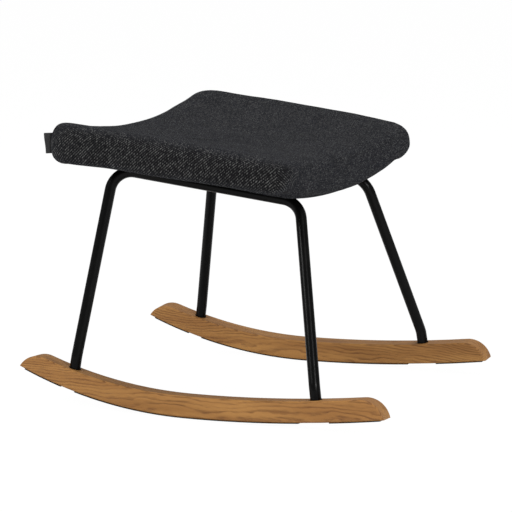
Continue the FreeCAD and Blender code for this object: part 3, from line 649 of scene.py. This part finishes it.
def hem(edge):
    """The cloth's last stretch: under the shell's rim, folded back, and up beside the shell."""
    return [
        rim_point(edge, -HEM_GAP, -HEM_INSET),
        rim_point(edge, HEM_INSET, -HEM_INSET),
        rim_point(edge, HEM_REACH, -HEM_INSET),
        rim_point(edge, HEM_REACH, -HEM_GAP / 4),
        rim_point(edge, HEM_INSET, -HEM_GAP / 4),
        rim_point(edge, -HEM_GAP),
        rim_point(edge, -HEM_GAP, HEM_GAP, True),
    ]


def seat_upholstery():
    """The padded seat: cloth drawn over foam, with its hem turned under the shell."""
    outline = seat_outline()
    directions = outward(outline)
    mesh = bmesh.new()
    grid = lay_cloth(mesh, seat_paths(outline, directions), outline, directions)
    mesh.faces.new([column[-1] for column in grid])
    bmesh.ops.recalc_face_normals(mesh, faces=mesh.faces)
    shape_by_hand(mesh, grid, directions)
    bmesh.ops.remove_doubles(mesh, verts=mesh.verts, dist=MELT_DISTANCE)
    return mesh_object("seat_upholstery", mesh, "charcoal_weave")


def lay_cloth(mesh, paths, outline, directions):
    """Faces between neighbouring paths, with their places in the flat cloth; returns each path's vertices."""
    flat = mesh.loops.layers.uv.new("cloth")
    grid = [[mesh.verts.new(point) for point in path] for path in paths]
    middles = {(x, y): middle_of(outline, Vector((x, y, 0))) for x, y in ((1, 0), (-1, 0), (0, 1), (0, -1))}
    count = len(outline)
    for n, column in enumerate(grid):
        ahead = (n + 1) % count
        facing = facing_of(directions[n])
        middle = middles[facing.x, facing.y]
        steps = (n - middle + count // 2) % count - count // 2
        places = flat_places(paths[n], facing, outline[middle], steps * MESH_STEP)
        beside = flat_places(paths[ahead], facing, outline[middle], (steps + 1) * MESH_STEP)
        for k in range(len(column) - 1):
            face = mesh.faces.new((column[k], column[k + 1], grid[ahead][k + 1], grid[ahead][k]))
            for loop, spot in zip(face.loops, (places[k], places[k + 1], beside[k + 1], beside[k])):
                loop[flat].uv = spot
    return grid


def facing_of(direction):
    """The side of the seat that a direction looks out of, as a unit vector along X or Y."""
    if abs(direction.x) > abs(direction.y):
        return Vector((math.copysign(1, direction.x), 0, 0))
    return Vector((0, math.copysign(1, direction.y), 0))


def middle_of(outline, facing):
    """The index of the outline's point in the middle of a side."""
    centre = (SEAT_LOW + SEAT_HIGH) / 2
    offsets = []
    for edge in outline:
        away = edge - centre
        away.z = 0
        along = away - facing * away.dot(facing)
        offsets.append(along.length if away.dot(facing) > 0 else math.inf)
    return offsets.index(min(offsets))


def flat_places(path, facing, middle, run):
    """Where each point of a path lies in the flat cloth, which runs straight over the side it faces.

    Round a corner the cloth is as long as the seat's outline, and towards the top it eases into the plan.
    """
    clockwise = Vector((facing.y, -facing.x, 0))
    on_edge = middle + clockwise * run
    places = []
    passed = 0.0
    for k in range(len(path)):
        if k > TOP_STEPS:
            passed += (path[k] - path[k - 1]).length
        point = path[min(k, TOP_STEPS)]
        eased = smooth_step(passed / EDGE_DEPTH)
        along = point.dot(clockwise) * (1 - eased) + on_edge.dot(clockwise) * eased
        spot = clockwise * along + facing * (point.dot(facing) + passed)
        places.append(Vector((spot.x, spot.y)))
    return places


def shape_by_hand(mesh, grid, directions):
    """Soften the foam's edges, then move the cloth along its normals."""
    last = TOP_STEPS + EDGE_STEPS
    soft = [vert for column in grid for vert in column[TOP_STEPS - SOFT_ABOVE:last - SOFT_SHORT]]
    for _ in range(SOFTENING):
        bmesh.ops.smooth_vert(mesh, verts=soft, factor=0.5, use_axis_x=True, use_axis_y=True, use_axis_z=True)
    mesh.normal_update()
    moves = []
    for column, direction in zip(grid, directions):
        for k, vert in enumerate(column[:last]):
            share = max(0.0, (k - TOP_STEPS) / EDGE_STEPS)
            held = min(1.0, (last - k) / HELD_STEPS)
            moves.append((vert, vert.normal * (handwork(vert.co, direction, share) * held)))
    for vert, move in moves:
        vert.co += move


def handwork(place, direction, share):
    """How far the cloth stands out at a place, by the direction of its edge and its share of the way down."""
    turn = math.atan2(abs(direction.y), abs(direction.x))
    tuck = bell(turn - TUCK_TURN, TUCK_SPREAD) * smooth_step(share * 1.6 - 0.6)
    corner = bell(turn - FULL_TURN, FULL_SPREAD) * bell(share - FULL_PLACE, FULL_WIDTH)
    plump = PLUMPNESS + END_PLUMPNESS * max(0.0, -direction.x)
    move = sum(noise.noise(place * waves) * height for waves, height in UNEVENNESS)
    move += plump * bell(share - PLUMP_PLACE, PLUMP_WIDTH)
    move += corner * CORNER_FULLNESS - tuck * TUCK_DEPTH
    move += sum(bell((place - lump).length, reach) * height for lump, reach, height in LUMPS)
    return move


def bell(distance, reach):
    """A smooth hill: 1 in its middle, falling to nearly nothing beyond twice its reach."""
    return math.exp(-(distance / reach) ** 2)


def smooth_step(share):
    """A share between 0 and 1, eased at both ends."""
    share = max(0.0, min(1.0, share))
    return share * share * (3 - 2 * share)


def mesh_object(name, mesh, finish):
    """A smooth-shaded piece that rides on the stool."""
    data = bpy.data.meshes.new(name)
    mesh.to_mesh(data)
    mesh.free()
    data.polygons.foreach_set("use_smooth", [True] * len(data.polygons))
    data.materials.append(FINISHES[finish])
    piece = bpy.data.objects.new(name, data)
    bpy.context.scene.collection.objects.link(piece)
    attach(piece, "root")
    return piece


# Cloth pieces that are cut flat

def strip_mesh(rows, thickness, kept=None):
    """A thin closed sheet through rows of points, open where a face isn't kept."""
    mesh = bmesh.new()
    flat = mesh.loops.layers.uv.new("cloth")
    front = [[mesh.verts.new(point) for point in row] for row in rows]
    places = flat_grid(rows)
    for i in range(len(rows) - 1):
        for j in range(len(rows[0]) - 1):
            spots = ((i, j), (i + 1, j), (i + 1, j + 1), (i, j + 1))
            if kept and not kept([rows[a][b] for a, b in spots]):
                continue
            face = mesh.faces.new([front[a][b] for a, b in spots])
            for loop, spot in zip(face.loops, spots):
                loop[flat].uv = places[spot]
    mesh.normal_update()
    bmesh.ops.solidify(mesh, geom=mesh.faces[:], thickness=thickness)
    bmesh.ops.recalc_face_normals(mesh, faces=mesh.faces)
    return mesh


def flat_grid(rows):
    """Where each point of the rows lies in the flat sheet, by the lengths along both directions."""
    places = {}
    for i, row in enumerate(rows):
        for j, point in enumerate(row):
            before = places[(i - 1, j)].x + (point - rows[i - 1][j]).length if i else 0.0
            beside = places[(i, j - 1)].y + (point - row[j - 1]).length if j else 0.0
            places[(i, j)] = Vector((before, beside))
    return places


LABEL_LOW, LABEL_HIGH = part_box("label_loop")

# The label: steps along half of its tape and up it, and how much of the CAD loop's height it leaves free
LABEL_STEPS = 30
LABEL_ROWS = 14
TAPE_THICKNESS = 0.00045
LABEL_MARGIN = 0.03

# How much higher and farther out than the CAD loop it stands, and how its fold leans, waves, turns and droops
LABEL_LIFT = 0.0026
LABEL_OVER = 0.0006
LABEL_LEAN = 0.0026
LABEL_WAVE = 0.0006
LABEL_TURN = 0.0011
LABEL_DROOP = 0.0012


def label_tape():
    """The blank label: a short tape folded end to end, both ends sewn in, its fold standing out."""
    rows = []
    for i in range(2 * LABEL_STEPS + 1):
        rows.append([label_point(i / LABEL_STEPS - 1.0, j / LABEL_ROWS) for j in range(LABEL_ROWS + 1)])
    piece = mesh_object("label_tape", strip_mesh(rows, TAPE_THICKNESS), "label_tape")
    return piece


def label_point(share, up):
    """A point of the tape, whose share is 0 at the fold and 1 or -1 at the sewn ends."""
    reach = 1 - abs(share) ** 2.2
    tip_x = LABEL_LOW.x - LABEL_OVER + LABEL_LEAN * (1 - up) ** 2 + LABEL_WAVE * math.sin(up * 5.0)
    open_half = (LABEL_HIGH.y - LABEL_LOW.y) / 2 - TAPE_THICKNESS
    spread = 0.45 + 0.55 * math.sin(math.pi * min(1.0, reach * 1.05) ** 1.5)
    aside = math.copysign(1, share) * open_half * spread * min(1.0, abs(share) * 3.2)
    x = LABEL_HIGH.x + (tip_x - LABEL_HIGH.x) * reach
    y = (LABEL_LOW.y + LABEL_HIGH.y) / 2 + aside + LABEL_TURN * (up - 0.5) * reach
    z = LABEL_LOW.z + (LABEL_HIGH.z - LABEL_LOW.z) * (LABEL_MARGIN + (1 - 2 * LABEL_MARGIN) * up)
    return Vector((x, y, z + LABEL_LIFT - LABEL_DROOP * reach))


# The lining: its step, thickness, inset from the shell's outline and corners
COVER_STEP = 0.004
COVER_THICKNESS = 0.0004
COVER_INSET = 0.0052
COVER_CORNER = 0.0285

# Its faint wrinkles, as waves per metre and their height, and its turned-in edge
WRINKLE_WAVES = 30.0
WRINKLE_HEIGHT = 0.00012
TURNED_IN_DEPTH = 0.00025
TURNED_IN_WIDTH = 0.010


def lining():
    """The thin lining under the shell, drawn tight over its curve, with holes for the screws."""
    surface = surface_of("dust_cover", SHELL_PLACE)
    to_shell = SHELL_PLACE.inverted()

    def beside_holes(corners):
        """Whether the CAD cover is whole at a face, so that the screws keep their holes."""
        spots = [to_shell @ corner for corner in corners]
        spots.append(sum(spots, Vector()) / len(spots))
        return all(hit_height(surface, spot.x, spot.y, False) is not None for spot in spots)

    rows = lining_rows(surface)
    piece = mesh_object("lining", strip_mesh(rows, COVER_THICKNESS, beside_holes), "black_cloth")
    return piece


def lining_rows(surface):
    """The lining's points, row by row, on the CAD cover with faint wrinkles and a turned-in edge."""
    middle = (SHELL_LOW + SHELL_HIGH) / 2
    half_x = (SHELL_HIGH.x - SHELL_LOW.x) / 2 - COVER_INSET
    half_y = (SHELL_HIGH.y - SHELL_LOW.y) / 2 - COVER_INSET
    columns = round(2 * half_y / COVER_STEP)
    lines = round(2 * half_x / COVER_STEP)
    rows = []
    for i in range(lines + 1):
        row = []
        for j in range(columns + 1):
            x, y = rounded((2 * i / lines - 1) * half_x, (2 * j / columns - 1) * half_y,
                           half_x, half_y, COVER_CORNER)
            z = hit_height(surface, middle.x, middle.y + y, False)
            edge = min(half_x - abs(x), half_y - abs(y))
            wrinkle = noise.noise(Vector((x * WRINKLE_WAVES, y * WRINKLE_WAVES, 0))) * WRINKLE_HEIGHT
            turned_in = TURNED_IN_DEPTH * smooth_step(1 - edge / TURNED_IN_WIDTH)
            raised = z + COVER_THICKNESS + wrinkle - turned_in
            row.append(SHELL_PLACE @ Vector((middle.x + x, middle.y + y, raised)))
        rows.append(row)
    return rows


def rounded(x, y, half_x, half_y, corner):
    """A point of a rectangle, moved so that the rectangle gets round corners."""
    core_x = half_x - corner
    core_y = half_y - corner
    if abs(x) <= core_x or abs(y) <= core_y:
        return x, y
    away = Vector((abs(x) - core_x, abs(y) - core_y))
    away *= max(away) / away.length if away.length else 1.0
    return math.copysign(core_x + away.x, x), math.copysign(core_y + away.y, y)


# Stage

FLOOR_SIZE = 40.0
FLOOR_WHITE = 1.02
FLOOR_SHOWN_WHITE = 0.96
WORLD_LIGHT = 0.42


def studio():
    """White floor and surroundings, with soft lamps from above, from the left and from the right."""
    studio_floor()
    studio_world()
    lamp("key_lamp", (-1.7, -2.3, 2.0), 1.1, 70.0)
    lamp("top_lamp", (0.4, 0.8, 2.8), 2.4, 56.0)
    lamp("side_lamp", (2.4, -1.8, 1.3), 0.7, 44.0)


def studio_floor():
    """A floor that the camera sees as white, with a little of its paint, so that the shadow stays."""
    bpy.ops.mesh.primitive_plane_add(size=FLOOR_SIZE, location=(0, 0, 0))
    floor = bpy.context.object
    floor.name = "studio_floor"
    tree, _ = new_material("studio white")
    white = add(tree, "ShaderNodeEmission", {"Color": (1, 1, 1, 1), "Strength": FLOOR_WHITE})
    paint = add(tree, "ShaderNodeBsdfDiffuse", {"Color": (0.85, 0.85, 0.85, 1)})
    path = tree.nodes.new("ShaderNodeLightPath")
    seen = maths(tree, "MULTIPLY", path.outputs["Is Camera Ray"], FLOOR_SHOWN_WHITE)
    mixed = add(tree, "ShaderNodeMixShader", {"Fac": seen, 1: paint.outputs[0], 2: white.outputs[0]})
    output = tree.nodes.new("ShaderNodeOutputMaterial")
    tree.links.new(mixed.outputs[0], output.inputs["Surface"])
    floor.data.materials.append(bpy.data.materials["studio white"])


def studio_world():
    """Even light all round, which the camera sees as white."""
    world = bpy.data.worlds.new("studio")
    bpy.context.scene.world = world
    world.use_nodes = True
    tree = world.node_tree
    tree.nodes.clear()
    path = tree.nodes.new("ShaderNodeLightPath")
    strength = remap(tree, path.outputs["Is Camera Ray"], 0, 1, WORLD_LIGHT, 1.0, False)
    backdrop = add(tree, "ShaderNodeBackground", {"Color": (1, 1, 1, 1), "Strength": strength})
    output = tree.nodes.new("ShaderNodeOutputWorld")
    tree.links.new(backdrop.outputs[0], output.inputs["Surface"])


def lamp(name, place, width, power):
    """A square lamp, turned to the stool."""
    data = bpy.data.lights.new(name, "AREA")
    data.shape = "SQUARE"
    data.size = width
    data.energy = power
    light = bpy.data.objects.new(name, data)
    light.location = place
    aim = VIEW_CENTRE - Vector(place)
    light.rotation_euler = aim.to_track_quat("-Z", "Y").to_euler()
    bpy.context.scene.collection.objects.link(light)


def camera():
    """The photograph's viewpoint, lens and slight roll."""
    data = bpy.data.cameras.new("camera")
    data.sensor_width = SENSOR_WIDTH
    data.lens = FOCAL_LENGTH
    data.clip_end = 100.0
    view = bpy.data.objects.new("camera", data)
    flat = math.cos(VIEW_ELEVATION)
    back = Vector((math.sin(VIEW_AZIMUTH) * flat, -math.cos(VIEW_AZIMUTH) * flat, math.sin(VIEW_ELEVATION)))
    right = Vector((math.cos(VIEW_AZIMUTH), math.sin(VIEW_AZIMUTH), 0))
    up = back.cross(right)
    turned_right = right * math.cos(VIEW_ROLL) + up * math.sin(VIEW_ROLL)
    turned_up = up * math.cos(VIEW_ROLL) - right * math.sin(VIEW_ROLL)
    place = VIEW_CENTRE + back * VIEW_DISTANCE
    view.matrix_world = Matrix((
        (turned_right.x, turned_up.x, back.x, place.x),
        (turned_right.y, turned_up.y, back.y, place.y),
        (turned_right.z, turned_up.z, back.z, place.z),
        (0, 0, 0, 1),
    ))
    bpy.context.scene.collection.objects.link(view)
    bpy.context.scene.camera = view


dress_frame()
seat = seat_upholstery()
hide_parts("seat_cushion")
label = label_tape()
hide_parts("label_loop")
cover = lining()
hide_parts("dust_cover")
studio()
camera()

bpy.context.scene.view_settings.view_transform = "Standard"
